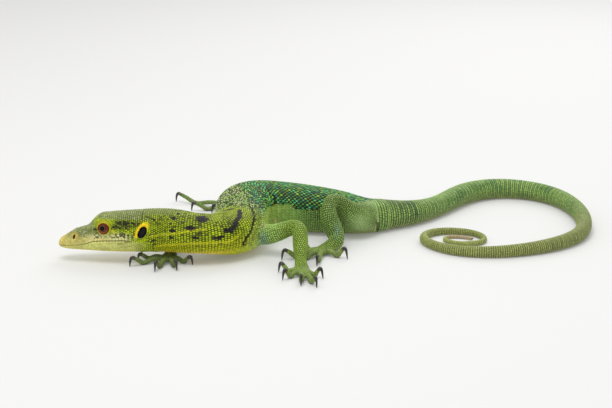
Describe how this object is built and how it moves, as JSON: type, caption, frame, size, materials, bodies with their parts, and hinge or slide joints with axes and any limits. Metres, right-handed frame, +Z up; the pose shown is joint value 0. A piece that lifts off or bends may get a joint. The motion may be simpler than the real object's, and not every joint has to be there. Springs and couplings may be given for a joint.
{
  "type": "emerald tree monitor",
  "caption": "Emerald tree monitor lizard as a still life-size model, lying on its belly with its neck stretched forward and its long tail curled on the floor; no moving parts.",
  "frame": {"origin": "on the floor, under the middle of the whole animal's bounding box", "axes": "+X from the snout towards the tail's outer bend, the longest extent; +Y towards the animal's right side; +Z up from the floor"},
  "size_m": [0.3052, 0.1754, 0.0301],
  "materials": {
    "skin": "small satin scales, lime green on the head and neck, emerald with turquoise spots on the back",
    "claws": "glossy black-brown horn",
    "eyes": "wet reddish-brown iris round a black pupil"
  },
  "bodies": {
    "root": {"chest": "skin", "claw_foot_left_1": "claws", "claw_foot_left_2": "claws", "claw_foot_left_3": "claws", "claw_foot_left_4": "claws", "claw_foot_left_5": "claws", "claw_foot_right_1": "claws", "claw_foot_right_2": "claws", "claw_foot_right_3": "claws", "claw_foot_right_4": "claws", "claw_foot_right_5": "claws", "claw_hand_left_1": "claws", "claw_hand_left_2": "claws", "claw_hand_left_3": "claws", "claw_hand_left_4": "claws", "claw_hand_left_5": "claws", "claw_hand_right_1": "claws", "claw_hand_right_2": "claws", "claw_hand_right_3": "claws", "claw_hand_right_4": "claws", "claw_hand_right_5": "claws", "eye_left": "eyes", "eye_right": "eyes", "foot_left": "skin", "foot_right": "skin", "forearm_left": "skin", "forearm_right": "skin", "hand_left": "skin", "hand_right": "skin", "head": "skin", "neck_front": "skin", "neck_rear": "skin", "pelvis": "skin", "shank_left": "skin", "shank_right": "skin", "tail_01": "skin", "tail_02": "skin", "tail_03": "skin", "tail_04": "skin", "tail_05": "skin", "tail_06": "skin", "tail_07": "skin", "tail_08": "skin", "tail_09": "skin", "tail_10": "skin", "tail_11": "skin", "tail_12": "skin", "tail_13": "skin", "tail_14": "skin", "tail_15": "skin", "tail_16": "skin", "thigh_left": "skin", "thigh_right": "skin", "torso_front": "skin", "torso_middle": "skin", "torso_rear": "skin", "upper_arm_left": "skin", "upper_arm_right": "skin"}
  },
  "joints": []
}
